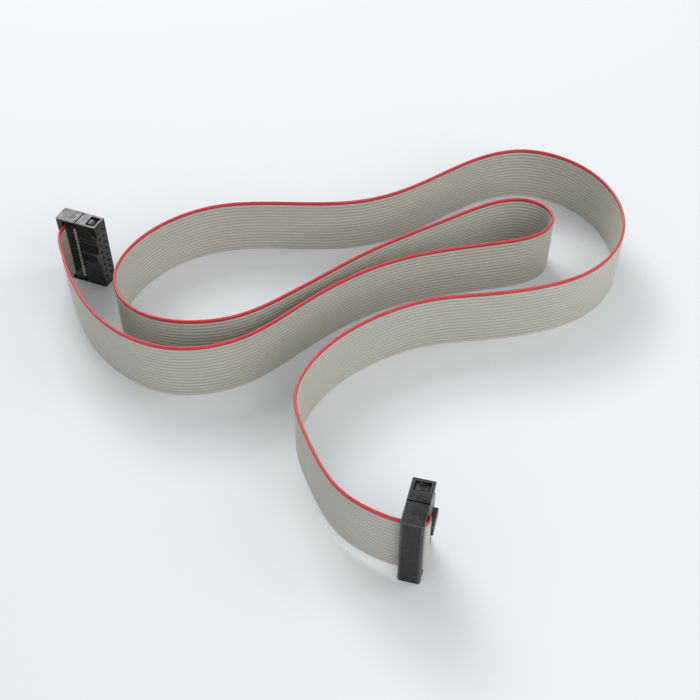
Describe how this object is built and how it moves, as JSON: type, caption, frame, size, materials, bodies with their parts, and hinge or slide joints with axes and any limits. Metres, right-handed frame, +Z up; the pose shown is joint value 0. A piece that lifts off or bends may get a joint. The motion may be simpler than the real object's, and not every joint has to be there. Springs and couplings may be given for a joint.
{
  "type": "ribbon cable",
  "caption": "Grey flat ribbon cable with a red edge wire and a black two-row pin socket with strain relief pressed on each end, folded into two loops.",
  "frame": {"origin": "centre of the bounding box's underside, on the surface that the cable stands on", "axes": "+Z up along the ribbon's width; +X along the longer side of the folded lay; +Y from the first socket towards the far loops"},
  "size_m": [0.1858, 0.1668, 0.0249],
  "materials": {
    "grey_pvc": "satin",
    "red_pvc": "satin",
    "black_housing": "moulded satin",
    "contact_metal": "plated"
  },
  "bodies": {
    "root": {"wire_1": "red_pvc", "wire_2": "grey_pvc", "wire_3": "grey_pvc", "wire_4": "grey_pvc", "wire_5": "grey_pvc", "wire_6": "grey_pvc", "wire_7": "grey_pvc", "wire_8": "grey_pvc", "wire_9": "grey_pvc", "wire_10": "grey_pvc", "wire_11": "grey_pvc", "wire_12": "grey_pvc", "wire_13": "grey_pvc", "wire_14": "grey_pvc", "wire_15": "grey_pvc", "wire_16": "grey_pvc", "socket_housing_a": "black_housing", "socket_cover_a": "black_housing", "strain_relief_a": "black_housing", "socket_housing_b": "black_housing", "socket_cover_b": "black_housing", "strain_relief_b": "black_housing", "contact_a_1": "contact_metal", "contact_a_2": "contact_metal", "contact_a_3": "contact_metal", "contact_a_4": "contact_metal", "contact_a_5": "contact_metal", "contact_a_6": "contact_metal", "contact_a_7": "contact_metal", "contact_a_8": "contact_metal", "contact_a_9": "contact_metal", "contact_a_10": "contact_metal", "contact_a_11": "contact_metal", "contact_a_12": "contact_metal", "contact_a_13": "contact_metal", "contact_a_14": "contact_metal", "contact_a_15": "contact_metal", "contact_a_16": "contact_metal", "contact_b_1": "contact_metal", "contact_b_2": "contact_metal", "contact_b_3": "contact_metal", "contact_b_4": "contact_metal", "contact_b_5": "contact_metal", "contact_b_6": "contact_metal", "contact_b_7": "contact_metal", "contact_b_8": "contact_metal", "contact_b_9": "contact_metal", "contact_b_10": "contact_metal", "contact_b_11": "contact_metal", "contact_b_12": "contact_metal", "contact_b_13": "contact_metal", "contact_b_14": "contact_metal", "contact_b_15": "contact_metal", "contact_b_16": "contact_metal"}
  },
  "joints": []
}
